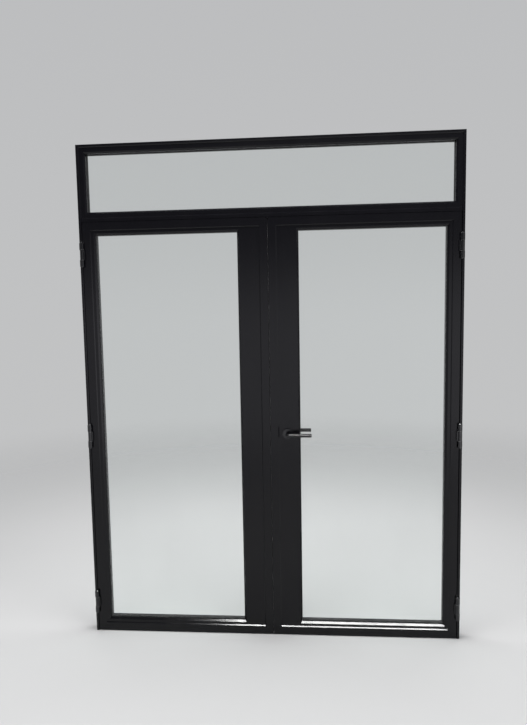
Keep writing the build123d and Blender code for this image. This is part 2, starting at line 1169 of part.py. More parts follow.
leaf_block_front = leaf_glass_front + glass_thick / 2 - block_depth / 2
glaze_middle = (glaze_left + glaze_right) / 2
glaze_quarter = (glaze_right - glaze_left) / 4

with BuildPart() as leaf_setting_blocks:
    for side in (-1, 1):
        middle = glaze_middle + side * glaze_quarter
        slab(
            middle - block_length / 2,
            middle + block_length / 2,
            glaze_bottom,
            glaze_bottom + glass_edge_gap,
            leaf_block_front,
            leaf_block_front + block_depth,
        )

save(leaf_setting_blocks.part, "right_setting_blocks")
save(across(leaf_setting_blocks.part), "left_setting_blocks")

# Corner cleats inside the leaf members
cleat_far = face_width - wall - cleat_play
leaf_corner = [
    (cleat_near, cleat_near),
    (cleat_leg, cleat_near),
    (cleat_leg, cleat_far),
    (cleat_far, cleat_far),
    (cleat_far, cleat_leg),
    (cleat_near, cleat_leg),
]

with BuildPart() as leaf_cleats:
    for edge_x, inward_x in ((leaf_outer, -1), (leaf_inner, 1)):
        for edge_z, inward_z in ((leaf_bottom, 1), (leaf_top, -1)):
            extrude(
                section(
                    Plane.XZ.offset(-cleat_front),
                    [(edge_x + inward_x * u, edge_z + inward_z * v) for u, v in leaf_corner],
                ),
                amount=-cleat_thick,
            )

save(leaf_cleats.part, "right_corner_cleats")
save(across(leaf_cleats.part), "left_corner_cleats")

# Brush seals in the grooves of the bottom rail and the meeting edge
seal_front = groove_front + seal_play
seal_back = groove_back - seal_play
fin_front = groove_front + groove_width / 2 - fin_thick / 2
seal_inset = 2 * groove_depth

with BuildPart() as leaf_seals:
    slab(
        leaf_inner + seal_inset,
        leaf_outer - seal_inset,
        leaf_bottom + seal_play,
        leaf_bottom + groove_depth - seal_play,
        seal_front,
        seal_back,
    )
    slab(
        leaf_inner + seal_inset,
        leaf_outer - seal_inset,
        bottom_seal_lift,
        leaf_bottom + through,
        fin_front,
        fin_front + fin_thick,
    )
    slab(
        leaf_inner + edge_slope * groove_back + seal_play,
        leaf_inner + groove_depth - seal_play,
        leaf_bottom + seal_inset,
        leaf_top - seal_inset,
        seal_front,
        seal_back,
    )
    slab(
        meeting_seal_gap / 2,
        leaf_inner + through,
        leaf_bottom + seal_inset,
        leaf_top - seal_inset,
        fin_front,
        fin_front + fin_thick,
    )

save(leaf_seals.part, "right_seals")
save(across(leaf_seals.part), "left_seals")

# Lock case with its forend, fitted from the meeting edge
forend_x = leaf_inner + forend_setback
case_x = forend_x + forend_thick
case_end_x = spindle_x + case_end
case_low = spindle_level - case_below
case_high = spindle_level + case_above

with BuildPart() as lock_case:
    block(
        (forend_x, forend_front, spindle_level - forend_below),
        (case_x, forend_back, spindle_level + forend_above),
    )
    block((case_x, case_front, case_low), (case_end_x, case_back, case_high))
    block(
        (case_x + case_wall, case_front + case_wall, case_low + case_wall),
        (case_end_x - case_wall, case_back - case_wall, case_high - case_wall),
        mode=Mode.SUBTRACT,
    )
    block(
        (forend_x - through, latch_front - latch_play, latch_low - latch_play),
        (case_x + case_wall + through, latch_back + latch_play, latch_high + latch_play),
        mode=Mode.SUBTRACT,
    )
    rod_y(
        spindle_x,
        spindle_level,
        case_front - through,
        case_back + through,
        hub_radius + running_fit,
        mode=Mode.SUBTRACT,
    )
    for side in (-1, 1):
        rod_y(
            spindle_x + side * rose_bolt_spread,
            spindle_level,
            case_front - through,
            case_back + through,
            bolt_hole_radius,
            mode=Mode.SUBTRACT,
        )

save(lock_case.part, "lock_case")

with BuildPart() as lock_follower:
    rod_y(spindle_x, spindle_level, case_front, case_back, hub_radius)
    block(
        (
            spindle_x - arm_width / 2,
            middle_depth - tail_depth / 2,
            spindle_level,
        ),
        (
            spindle_x + arm_width / 2,
            middle_depth + tail_depth / 2,
            spindle_level + arm_length,
        ),
    )
    with Locations((spindle_x, middle_depth, spindle_level)):
        Box(
            square_side + 2 * square_play,
            case_depth + 2 * past,
            square_side + 2 * square_play,
            mode=Mode.SUBTRACT,
        )

save(lock_follower.part, "lock_follower")

tail_low = latch_level - tail_height / 2
tail_high = latch_level + tail_height / 2
tab_end = spindle_x + tail_end
slope_front = latch_back - latch_slope

with BuildPart() as latch_bolt:
    block((-latch_out, latch_front, latch_low), (latch_head - latch_out, latch_back, latch_high))
    extrude(
        section(
            Plane.XY.offset(latch_low - through),
            [
                (-latch_out - through, slope_front - through),
                (-latch_out - through, latch_back + through),
                (forend_x, latch_back + through),
                (forend_x, latch_back),
                (-latch_out, slope_front),
            ],
        ),
        amount=latch_height + 2 * through,
        mode=Mode.SUBTRACT,
    )
    block(
        (latch_head - latch_out - through, middle_depth - tail_depth / 2, tail_low),
        (tab_end, middle_depth + tail_depth / 2, tail_high),
    )
    block(
        (tab_end - tab_width, middle_depth - tail_depth / 2, spindle_level + tab_drop),
        (tab_end, middle_depth + tail_depth / 2, tail_low + through),
    )

save(latch_bolt.part, "latch_bolt")

# Lever set on round roses, the same outside and inside
rose_base = panel_recess
rose_face = rose_base - rose_height
lever_line = rose_base - lever_stand
neck_end = rose_base - neck_inset
lever_end = spindle_x + lever_reach

with BuildPart() as rose_outer:
    rod_y(spindle_x, spindle_level, rose_face, rose_base, rose_radius)
    chamfer(rose_outer.edges().sort_by(Axis.Y)[0], rose_round)
    rod_y(
        spindle_x,
        spindle_level,
        rose_face + rose_wall,
        rose_base,
        rose_radius - rose_wall,
        mode=Mode.SUBTRACT,
    )
    rod_y(
        spindle_x,
        spindle_level,
        rose_face - through,
        rose_base,
        lever_radius + running_fit,
        mode=Mode.SUBTRACT,
    )

save(rose_outer.part, "rose_outer")

with BuildPart() as lever_outer:
    with BuildLine() as lever_path:
        Line((spindle_x, neck_end, spindle_level), (spindle_x, lever_line + lever_bend, spindle_level))
        TangentArc(
            (spindle_x, lever_line + lever_bend, spindle_level),
            (spindle_x + lever_bend, lever_line, spindle_level),
            tangent=(0, -1, 0),
        )
        Line(
            (spindle_x + lever_bend, lever_line, spindle_level),
            (lever_end, lever_line, spindle_level),
        )
    with BuildSketch(Plane.XZ.offset(-neck_end)) as lever_round:
        with Locations((spindle_x, spindle_level)):
            Circle(lever_radius)
    sweep(lever_round.sketch, path=lever_path.wires()[0])
    chamfer(lever_outer.faces().sort_by(Axis.X)[-1].edges(), lever_end_bevel)
    block(
        (
            spindle_x - square_side / 2 - square_play,
            lever_line + spindle_end_inset - socket_play,
            spindle_level - square_side / 2 - square_play,
        ),
        (
            spindle_x + square_side / 2 + square_play,
            neck_end + through,
            spindle_level + square_side / 2 + square_play,
        ),
        mode=Mode.SUBTRACT,
    )

save(lever_outer.part, "lever_outer")


def inside_of(piece):
    """Gives the same piece on the room side of the leaf."""
    with BuildPart() as other:
        add(piece)
        mirror(about=Plane.XZ.offset(-middle_depth), mode=Mode.REPLACE)
    return other.part


save(inside_of(rose_outer.part), "rose_inner")
save(inside_of(lever_outer.part), "lever_inner")

spindle_start = lever_line + spindle_end_inset

with BuildPart() as spindle:
    with Locations((spindle_x, middle_depth, spindle_level)):
        Box(square_side, 2 * (middle_depth - spindle_start), square_side)

save(spindle.part, "spindle")

bolt_start = rose_face + rose_wall
bolt_end = frame_depth - bolt_start

with BuildPart() as rose_bolts:
    for side in (-1, 1):
        bolt_x = spindle_x + side * rose_bolt_spread
        rod_y(bolt_x, spindle_level, bolt_start, bolt_end, rose_bolt_radius)
        for start, end in ((bolt_start, rose_base), (panel_back, bolt_end)):
            with BuildSketch(Plane.XZ.offset(-start)):
                with Locations((bolt_x, spindle_level)):
                    RegularPolygon(rose_bolt_hex, 6)
            extrude(amount=start - end)

save(rose_bolts.part, "rose_bolts")

# Strike plate and flush bolts in the edge of the other leaf
with BuildPart() as strike_plate:
    block(
        (-leaf_inner - recess_depth, forend_front, strike_low),
        (-leaf_inner - forend_setback, forend_back, strike_high),
    )
    block(
        (-leaf_inner - recess_depth - through, latch_front - strike_side, latch_low - strike_side),
        (0, latch_back + strike_side, latch_high + strike_side),
        mode=Mode.SUBTRACT,
    )

save(strike_plate.part, "strike_plate")

rod_x = -leaf_inner - rod_in
guide_half = rod_radius + running_fit

with BuildPart() as flush_bolt_housings:
    for level, slot_low, slot_high in (
        (top_bolt_level, -2 * thumb_height, top_throw - thumb_height),
        (bottom_bolt_level, thumb_height - bottom_throw, 2 * thumb_height),
    ):
        block(
            (
                -leaf_inner - recess_depth,
                forend_front,
                level - bolt_plate_height / 2,
            ),
            (
                -leaf_inner - forend_setback,
                forend_back,
                level + bolt_plate_height / 2,
            ),
        )
        for end in (-1, 1):
            middle = level + end * guide_spread / 2
            block(
                (
                    -leaf_inner - guide_back,
                    forend_front + case_wall + guide_side_play,
                    middle - guide_height / 2,
                ),
                (
                    -leaf_inner - recess_depth,
                    forend_back - case_wall - guide_side_play,
                    middle + guide_height / 2,
                ),
            )
            block(
                (rod_x - guide_half, rod_depth - guide_half, middle - guide_height),
                (rod_x + guide_half, rod_depth + guide_half, middle + guide_height),
                mode=Mode.SUBTRACT,
            )
        block(
            (
                -leaf_inner - recess_depth - through,
                rod_depth - thumb_width / 2 - slot_play,
                level + slot_low - slot_play,
            ),
            (
                0,
                rod_depth + thumb_width / 2 + slot_play,
                level + slot_high + slot_play,
            ),
            mode=Mode.SUBTRACT,
        )

save(flush_bolt_housings.part, "flush_bolt_housings")


def flush_bolt(level, rod_low, rod_high, thumb_low):
    """Gives a bolt rod with its thumb piece."""
    with BuildPart() as bolt:
        rod_z(rod_x, rod_depth, rod_low, rod_high, rod_radius)
        block(
            (rod_x, rod_depth - thumb_width / 2, level + thumb_low),
            (
                -leaf_inner - thumb_setback,
                rod_depth + thumb_width / 2,
                level + thumb_low + thumb_height,
            ),
        )
    return bolt.part


save(
    flush_bolt(
        top_bolt_level,
        top_bolt_level - rod_tail,
        leaf_top - rod_setback,
        -2 * thumb_height,
    ),
    "flush_bolt_top",
)
save(
    flush_bolt(
        bottom_bolt_level,
        leaf_bottom + rod_setback,
        bottom_bolt_level + rod_tail,
        thumb_height,
    ),
    "flush_bolt_bottom",
)
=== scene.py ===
import math
import random

import bmesh
import bpy
from mathutils import Matrix, Vector


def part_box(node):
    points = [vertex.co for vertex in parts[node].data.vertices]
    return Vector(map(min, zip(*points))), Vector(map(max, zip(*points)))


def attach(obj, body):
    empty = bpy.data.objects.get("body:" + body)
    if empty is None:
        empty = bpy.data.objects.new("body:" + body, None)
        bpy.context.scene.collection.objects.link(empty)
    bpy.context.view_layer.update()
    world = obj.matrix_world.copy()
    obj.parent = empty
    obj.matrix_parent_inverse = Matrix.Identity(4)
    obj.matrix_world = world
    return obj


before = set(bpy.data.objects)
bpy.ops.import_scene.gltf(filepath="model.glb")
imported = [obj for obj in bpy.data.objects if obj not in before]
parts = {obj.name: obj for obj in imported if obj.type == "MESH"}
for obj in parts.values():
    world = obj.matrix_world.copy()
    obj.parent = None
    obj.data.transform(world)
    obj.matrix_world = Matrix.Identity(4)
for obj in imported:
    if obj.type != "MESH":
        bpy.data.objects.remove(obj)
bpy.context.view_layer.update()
print("door loaded,", len(parts), "parts")

mm = 0.001
sameSpot = 0.01 * mm  # corners nearer than this are one corner
sortDigits = 5  # decimals of a metre that count when solids are put in order


# Shader sums: a socket that can be added, taken away, multiplied and so on
class Wire:
    def __init__(self, sheet, socket):
        self.sheet = sheet
        self.socket = socket

    def sum(self, operation, first, second=0.0):
        return self.sheet.put("ShaderNodeMath", {"operation": operation}, {0: first, 1: second})

    def __add__(self, other):
        return self.sum("ADD", self, other)

    def __radd__(self, other):
        return self.sum("ADD", other, self)

    def __sub__(self, other):
        return self.sum("SUBTRACT", self, other)

    def __rsub__(self, other):
        return self.sum("SUBTRACT", other, self)

    def __mul__(self, other):
        return self.sum("MULTIPLY", self, other)

    def __rmul__(self, other):
        return self.sum("MULTIPLY", other, self)

    def __pow__(self, other):
        return self.sum("POWER", self, other)

    def __abs__(self):
        return self.sum("ABSOLUTE", self)

    def lesser(self, other):
        return self.sum("MINIMUM", self, other)


# How worn edges are found: a softened normal leans away from the true one there,
# and the wear starts at the first lean and is full at the second
edgeFinder = {"samples": 4, "lean": (0.02, 0.2)}


class Sheet:
    def __init__(self, tree):
        self.tree = tree
        self.tree.nodes.clear()

    # any node: its kind, its settings, then its sockets by name or number
    def put(self, kind, settings=None, sockets=None, out=0):
        node = self.tree.nodes.new(kind)
        for key, value in (settings or {}).items():
            setattr(node, key, value)
        for key, value in (sockets or {}).items():
            if isinstance(value, Wire):
                self.tree.links.new(value.socket, node.inputs[key])
            else:
                node.inputs[key].default_value = value
        return Wire(self, node.outputs[out]) if len(node.outputs) else None

    def mixColour(self, share, first, second):
        return self.put("ShaderNodeMix", {"data_type": "RGBA"}, {0: share, 6: first, 7: second}, out=2)

    def mixShader(self, share, first, second):
        return self.put("ShaderNodeMixShader", None, {0: share, 1: first, 2: second})

    def spot(self, along):
        place = self.put("ShaderNodeTexCoord", out="Object")
        return self.put("ShaderNodeSeparateXYZ", None, {0: place}, out=along)

    def noise(self, scale, detail=4, rough=0.5, stretch=(1, 1, 1)):
        place = self.put("ShaderNodeTexCoord", out="Object")
        place = self.put("ShaderNodeMapping", None, {"Vector": place, "Scale": stretch})
        sockets = {"Vector": place, "Scale": scale, "Detail": detail, "Roughness": rough}
        return self.put("ShaderNodeTexNoise", None, sockets)

    # 0 at low, 1 at high, held outside
    def ramp(self, value, low, high, kind="LINEAR"):
        settings = {"clamp": True, "interpolation_type": kind}
        sockets = {"Value": value, "From Min": low, "From Max": high}
        return self.put("ShaderNodeMapRange", settings, sockets)

    # how near this place is to a sharp edge, 0 to 1
    def edges(self, radius):
        samples = {"samples": edgeFinder["samples"]}
        soft = self.put("ShaderNodeBevel", samples, {"Radius": radius})
        true = self.put("ShaderNodeNewGeometry", out="Normal")
        dot = {"operation": "DOT_PRODUCT"}
        match = self.put("ShaderNodeVectorMath", dot, {0: soft, 1: true}, out="Value")
        return self.ramp(1 - match, *edgeFinder["lean"])

    # 1 on faces that look up, 0 on upright ones, -1 on faces that look down
    def upward(self):
        true = self.put("ShaderNodeNewGeometry", out="Normal")
        return self.put("ShaderNodeSeparateXYZ", None, {0: true}, out="Z")

    def bump(self, height, strength, distance):
        sockets = {"Height": height, "Strength": strength, "Distance": distance}
        return self.put("ShaderNodeBump", None, sockets)

    def shade(self, sockets):
        return self.put("ShaderNodeBsdfPrincipled", None, sockets)

    def end(self, shader):
        self.put("ShaderNodeOutputMaterial", None, {"Surface": shader})


def newMaterial(name):
    material = bpy.data.materials.new(name)
    material.use_nodes = True
    return material, Sheet(material.node_tree)


# In the looks below a patch is where a noise starts to show and where it shows fully,
# a share is how much of it shows, and a relief is a bump's strength and its height in metres.

# Near-black powder coat on the sections and beads
powderLook = {
    "colour": (0.0040, 0.0038, 0.0054, 1),
    "dusty": (0.028, 0.027, 0.026, 1),
    "worn": (0.025, 0.025, 0.029, 1),
    "seam": (0.001, 0.001, 0.001, 1),
    "gloss": 0.105,
    "shine": 0.25,
    "ior": 1.5,
    "grain": {"scale": 1500, "detail": 2},
    "grainShare": 0.3,
    "peel": {"scale": 260, "detail": 3},
    "peelShare": 0.7,
    "peelRough": 0.03,
    "relief": (0.03, 0.0006),
    "cloud": {"scale": 3.2, "detail": 5, "rough": 0.6},
    "cloudRough": 0.06,
    "smear": {"scale": 9, "detail": 6, "rough": 0.65, "stretch": (1, 1, 0.35)},
    "smearPatch": (0.42, 0.75),
    "dustAnywhere": 0.05,
    "dustNearFloor": 0.1,
    "dustOnLedges": 0.12,
    "dustRough": 0.2,
    "dustTop": 0.55,  # dust from the floor reaches about this high
    "ledge": (0.3, 0.95),  # how far up a face looks before dust lies on it
    "wear": {"scale": 38, "detail": 5},
    "wearPatch": (0.5, 0.72),
    "wearShare": 0.4,
    "wearWidth": 0.0012,
    "seamShare": 0.8,
    "seamDepth": 4,
    "seamWidth": 0.0006,
}


# seamOf gives a spot's distance from the line where two mitred pieces meet
def makePowderCoat(name, look, seamOf=None):
    material, sheet = newMaterial(name)
    peel = sheet.noise(**look["peel"])
    nearFloor = 1 - sheet.ramp(sheet.spot("Z"), 0.0, look["dustTop"])
    resting = sheet.ramp(sheet.upward(), *look["ledge"])
    dust = look["dustAnywhere"] + look["dustNearFloor"] * nearFloor + look["dustOnLedges"] * resting
    dust = sheet.ramp(sheet.noise(**look["smear"]), *look["smearPatch"]) * dust
    wear = sheet.edges(look["wearWidth"]) * sheet.ramp(sheet.noise(**look["wear"]), *look["wearPatch"])
    colour = sheet.mixColour(dust, look["colour"], look["dusty"])
    colour = sheet.mixColour(wear * look["wearShare"], colour, look["worn"])
    height = sheet.noise(**look["grain"]) * look["grainShare"] + peel * look["peelShare"]
    if seamOf:
        seam = 1 - sheet.ramp(seamOf(sheet), 0.0, look["seamWidth"])
        colour = sheet.mixColour(seam * look["seamShare"], colour, look["seam"])
        height = height - look["seamDepth"] * seam
    rough = look["gloss"] + look["cloudRough"] * sheet.noise(**look["cloud"])
    rough = rough + look["dustRough"] * dust + look["peelRough"] * peel
    sheet.end(
        sheet.shade(
            {
                "Base Color": colour,
                "Roughness": rough,
                "Normal": sheet.bump(height, *look["relief"]),
                "IOR": look["ior"],
                "Specular IOR Level": look["shine"],
            }
        )
    )
    return material


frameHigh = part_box("frame_head")[1]
leafLow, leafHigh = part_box("right_hinge_stile")
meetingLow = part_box("right_meeting_stile")[0]


# distance from the mitres of the frame's two top corners
def frameMitre(sheet):
    aside = frameHigh.x - abs(sheet.spot("X"))
    below = frameHigh.z - sheet.spot("Z")
    return abs(aside - below)


# distance from the mitres of a leaf's four corners
def leafMitre(sheet):
    across = abs(sheet.spot("X"))
    level = sheet.spot("Z")
    aside = (leafHigh.x - across).lesser(across - meetingLow.x)
    below = (leafHigh.z - level).lesser(level - leafLow.z)
    return abs(aside - below)


powderCoat = makePowderCoat("powder coat", powderLook)
powderFrame = makePowderCoat("powder coat frame", powderLook, frameMitre)
powderLeaf = makePowderCoat("powder coat leaf", powderLook, leafMitre)

# Black satin finish of the lever set and the hinges, and the glossier one of the hinge caps
fittingLooks = {
    "fitting black": {
        "colour": (0.0042, 0.0042, 0.0055, 1),
        "metal": (0.07, 0.07, 0.075, 1),
        "gloss": 0.07,
        "shine": 0.5,
        "relief": (0.03, 0.0004),
    },
    "cap black": {
        "colour": (0.0045, 0.0046, 0.006, 1),
        "metal": (0.1, 0.1, 0.1, 1),
        "gloss": 0.05,
        "shine": 1.0,
        "relief": (0.008, 0.0004),
    },
}

# What both have: a fine grain, marks of touch, and metal rubbed bare along the edges
fittingWear = {
    "ior": 1.5,
    "grain": {"scale": 1400, "detail": 2},
    "touch": {"scale": 55, "detail": 6, "rough": 0.6},
    "touchRough": 0.1,
    "rubbedWidth": 0.0009,
    "rubbedPatch": (0.42, 0.62),
    "rubbedShare": 0.5,
    "rubbedMetal": 0.4,
    "rubbedSmooth": 0.05,
}


def makeFitting(name, look, wear):
    material, sheet = newMaterial(name)
    touch = sheet.noise(**wear["touch"])
    rubbed = sheet.edges(wear["rubbedWidth"]) * sheet.ramp(touch, *wear["rubbedPatch"])
    rough = look["gloss"] + wear["touchRough"] * touch - wear["rubbedSmooth"] * rubbed
    sheet.end(
        sheet.shade(
            {
                "Base Color": sheet.mixColour(rubbed * wear["rubbedShare"], look["colour"], look["metal"]),
                "Roughness": rough,
                "Metallic": rubbed * wear["rubbedMetal"],
                "Normal": sheet.bump(sheet.noise(**wear["grain"]), *look["relief"]),
                "IOR": wear["ior"],
                "Specular IOR Level": look["shine"],
            }
        )
    )
    return material


fittings = {name: makeFitting(name, look, fittingWear) for name, look in fittingLooks.items()}

# Clear glass with a trace of dust and wiped streaks
paneLook = {
    "tint": (0.955, 0.98, 0.972, 1),
    "film": (0.6, 0.61, 0.61, 1),
    "shade": (0.86, 0.89, 0.88, 1),  # what the lamps lose on their way through
    "ior": 1.45,
    "waves": {"scale": 7, "detail": 1},
    "relief": (0.02, 0.0004),
    "streak": {"scale": 5, "detail": 7, "rough": 0.62, "stretch": (1, 1, 0.25)},
    "streakPatch": (0.5, 0.8),
    "streakShare": 0.014,
    "speck": {"scale": 420, "detail": 1},
    "speckPatch": (0.72, 0.8),
    "speckShare": 0.04,
    "filmShare": 0.004,
    "filmRough": 0.9,
}


def makePane(name, look):
    material, sheet = newMaterial(name)
    streak = sheet.ramp(sheet.noise(**look["streak"]), *look["streakPatch"])
    speck = sheet.ramp(sheet.noise(**look["speck"]), *look["speckPatch"])
    clear = sheet.shade(
        {
            "Base Color": look["tint"],
            "Roughness": 0.0,
            "IOR": look["ior"],
            "Transmission Weight": 1.0,
            "Normal": sheet.bump(sheet.noise(**look["waves"]), *look["relief"]),
        }
    )
    dust = sheet.shade(
        {"Base Color": look["film"], "Roughness": look["filmRough"], "Specular IOR Level": 0.0}
    )
    share = look["filmShare"] + look["streakShare"] * streak + look["speckShare"] * speck
    dusty = sheet.mixShader(share, clear, dust)
    lampRay = sheet.put("ShaderNodeLightPath", out="Is Shadow Ray")
    through = sheet.put("ShaderNodeBsdfTransparent", None, {"Color": look["shade"]})
    sheet.end(sheet.mixShader(lampRay, dusty, through))
    return material


paneGlass = makePane("pane glass", paneLook)

# Black rubber of the gaskets, with a grey bloom
rubberLook = {
    "colour": (0.0065, 0.0065, 0.0068, 1),
    "bloomed": (0.028, 0.028, 0.03, 1),
    "gloss": 0.55,
    "bloom": {"scale": 24, "detail": 6, "rough": 0.7},
    "bloomPatch": (0.5, 0.8),
    "bloomShare": 0.35,
    "bloomRough": 0.2,
    "grain": {"scale": 2200, "detail": 2},
    "relief": (0.2, 0.0003),
}


def makeRubber(name, look):
    material, sheet = newMaterial(name)
    bloom = sheet.noise(**look["bloom"])
    share = sheet.ramp(bloom, *look["bloomPatch"]) * look["bloomShare"]
    sheet.end(
        sheet.shade(
            {
                "Base Color": sheet.mixColour(share, look["colour"], look["bloomed"]),
                "Roughness": look["gloss"] + look["bloomRough"] * bloom,
                "Normal": sheet.bump(sheet.noise(**look["grain"]), *look["relief"]),
            }
        )
    )
    return material


rubber = makeRubber("gasket rubber", rubberLook)

# Brush strips under the leaves and between them
brushLook = {
    "colour": (0.009, 0.009, 0.01, 1),
    "tip": (0.04, 0.04, 0.042, 1),
    "gloss": 0.75,
    "strands": {"scale": 1600, "detail": 2, "stretch": (1, 1, 0.06)},
    "strandShare": 0.5,
    "strandHeight": 0.7,
    "tuft": {"scale": 300, "detail": 3},
    "tuftRough": 0.15,
    "tuftHeight": 0.3,
    "relief": (0.7, 0.0008),
}


def makeBrush(name, look):
    material, sheet = newMaterial(name)
    strands = sheet.noise(**look["strands"])
    tuft = sheet.noise(**look["tuft"])
    height = strands * look["strandHeight"] + tuft * look["tuftHeight"]
    sheet.end(
        sheet.shade(
            {
                "Base Color": sheet.mixColour(strands * look["strandShare"], look["colour"], look["tip"]),
                "Roughness": look["gloss"] + look["tuftRough"] * tuft,
                "Normal": sheet.bump(height, *look["relief"]),
            }
        )
    )
    return material


brush = makeBrush("brush strip", brushLook)

# Metals of the lock, its plates, the bolts, the pin heads and the hidden cleats.
# A drawn metal's marks run the way that its stretch is small.
metalLooks = {
    "brushed steel": {
        "colour": (0.5, 0.5, 0.51, 1),
        "dark": (0.32, 0.32, 0.33, 1),
        "gloss": 0.28,
        "drawn": (1, 1, 0.03),
    },
    "plated steel": {
        "colour": (0.56, 0.55, 0.5, 1),
        "dark": (0.38, 0.37, 0.34, 1),
        "gloss": 0.32,
        "drawn": (1, 1, 1),
    },
    "polished steel": {
        "colour": (0.62, 0.62, 0.62, 1),
        "dark": (0.5, 0.5, 0.5, 1),
        "gloss": 0.1,
        "drawn": (1, 1, 1),
    },
    "cast aluminium": {
        "colour": (0.42, 0.42, 0.43, 1),
        "dark": (0.3, 0.3, 0.31, 1),
        "gloss": 0.5,
        "drawn": (1, 1, 1),
    },
}

metalMarks = {
    "lines": {"scale": 900, "detail": 3},
    "linesRough": 0.1,
    "relief": (0.12, 0.0003),
    "stain": {"scale": 30, "detail": 6, "rough": 0.65},
    "stainPatch": (0.35, 0.75),
    "stainShare": 0.6,
    "stainRough": 0.12,
}


def makeMetal(name, look, marks):
    material, sheet = newMaterial(name)
    lines = sheet.noise(**marks["lines"], stretch=look["drawn"])
    stain = sheet.noise(**marks["stain"])
    share = sheet.ramp(stain, *marks["stainPatch"]) * marks["stainShare"]
    sheet.end(
        sheet.shade(
            {
                "Base Color": sheet.mixColour(share, look["colour"], look["dark"]),
                "Roughness": look["gloss"] + marks["linesRough"] * lines + marks["stainRough"] * stain,
                "Metallic": 1.0,
                "Normal": sheet.bump(lines, *marks["relief"]),
            }
        )
    )
    return material


metals = {name: makeMetal(name, look, metalMarks) for name, look in metalLooks.items()}

# Plastic of the setting blocks and the hinge washers
plasticLooks = {
    "block plastic": {"colour": (0.05, 0.055, 0.065, 1), "pale": (0.09, 0.095, 0.105, 1)},
    "washer nylon": {"colour": (0.2, 0.2, 0.2, 1), "pale": (0.3, 0.3, 0.29, 1)},
}

plasticMarks = {
    "gloss": 0.42,
    "flow": {"scale": 60, "detail": 4},
    "flowRough": 0.15,
    "grain": {"scale": 1200, "detail": 2},
    "relief": (0.12, 0.0003),
}


def makePlastic(name, look, marks):
    material, sheet = newMaterial(name)
    flow = sheet.noise(**marks["flow"])
    sheet.end(
        sheet.shade(
            {
                "Base Color": sheet.mixColour(flow, look["colour"], look["pale"]),
                "Roughness": marks["gloss"] + marks["flowRough"] * flow,
                "Normal": sheet.bump(sheet.noise(**marks["grain"]), *marks["relief"]),
            }
        )
    )
    return material


plastics = {name: makePlastic(name, look, plasticMarks) for name, look in plasticLooks.items()}
print("finishes made")

# Which finish each part gets, by its name or by the first words found in it
finishes = {
    "glass": paneGlass,
    "gaskets": rubber,
    "stop_seals": rubber,
    "seals": brush,
    "setting_blocks": plastics["block plastic"],
    "cleats": metals["cast aluminium"],
    "lock_case": metals["brushed steel"],
    "strike_plate": metals["brushed steel"],
    "flush_bolt_housings": metals["brushed steel"],
    "bolt_keep": metals["brushed steel"],
    "latch_bolt": metals["plated steel"],
    "lock_follower": metals["plated steel"],
    "spindle": metals["plated steel"],
    "rose_bolts": metals["plated steel"],
    "flush_bolt_top": metals["plated steel"],
    "flush_bolt_bottom": metals["plated steel"],
    "hinge_pins": metals["plated steel"],
    "knuckles": fittings["fitting black"],
    "rose": fittings["fitting black"],
    "lever": fittings["fitting black"],
    "jamb": powderFrame,
    "frame_head": powderFrame,
    "stile": powderLeaf,
    "rail": powderLeaf,
}


def finishFor(part):
    if part in finishes:
        return finishes[part]
    for words, finish in finishes.items():
        if words in part:
            return finish
    return powderCoat


for part, thing in parts.items():
    finish = finishFor(part)
    if not thing.material_slots:
        thing.data.materials.append(finish)
    for place in thing.material_slots:
        place.material = finish
print("parts painted")


# The boxes of a part's separate solids, from left to right, front to back and bottom to top
def solidsOf(part):
    net = bmesh.new()
    net.from_mesh(parts[part].data)
    bmesh.ops.remove_doubles(net, verts=net.verts, dist=sameSpot)
    boxes = []
    left = set(net.verts)
    while left:
        reached = [left.pop()]
        for corner in reached:
            for line in corner.link_edges:
                other = line.other_vert(corner)
                if other in left:
                    left.remove(other)
                    reached.append(other)
        places = [corner.co for corner in reached]
        low = Vector([min(place[axis] for place in places) for axis in range(3)])
        high = Vector([max(place[axis] for place in places) for axis in range(3)])
        boxes.append((low, high))
    net.free()
    return sorted(boxes, key=lambda box: [round(value, sortDigits) for value in box[0]])


# A round body: rings of a radius and a height, lathed about the place's own Z.
# A ring marked hex has six flats, and its radius is half the width across them.
def turn(net, rings, place, steps=36):
    flat = math.tau / 6
    loops = []
    for radius, height, *shape in rings:
        loop = []
        for step in range(steps if radius else 1):
            angle = step * math.tau / steps
            reach = radius
            if "hex" in shape:
                reach = radius / math.cos(angle % flat - flat / 2)
            point = Vector((reach * math.cos(angle), reach * math.sin(angle), height))
            loop.append(net.verts.new(place @ point))
        loops.append(loop)
    for lower, upper in zip(loops, loops[1:]):
        for step in range(steps):
            after = (step + 1) % steps
            corners = [lower[step % len(lower)], lower[after % len(lower)]]
            corners += [upper[after % len(upper)], upper[step % len(upper)]]
            net.faces.new(dict.fromkeys(corners))


# Turns a net into a piece that rides on a body, with finish as its material.
# Edges that turn by more than sharp degrees stay crisp.
def makePiece(name, net, finish, body, sharp=35):
    bmesh.ops.recalc_face_normals(net, faces=net.faces)
    mesh = bpy.data.meshes.new(name)
    net.to_mesh(mesh)
    net.free()
    mesh.materials.append(finish)
    mesh.shade_smooth()
    mesh.set_sharp_from_angle(angle=math.radians(sharp))
    thing = bpy.data.objects.new(name, mesh)
    bpy.context.scene.collection.objects.link(thing)
    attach(thing, body)


# The way a screw or a cap looks, as a turn that lays its own Z along it
facing = {
    "up": Matrix.Identity(4),
    "down": Matrix.Rotation(math.pi, 4, "X"),
    "front": Matrix.Rotation(math.pi / 2, 4, "X"),
    "left": Matrix.Rotation(-math.pi / 2, 4, "Y"),
    "right": Matrix.Rotation(math.pi / 2, 4, "Y"),
}


def at(x, y, z, way):
    return Matrix.Translation((x, y, z)) @ facing[way]


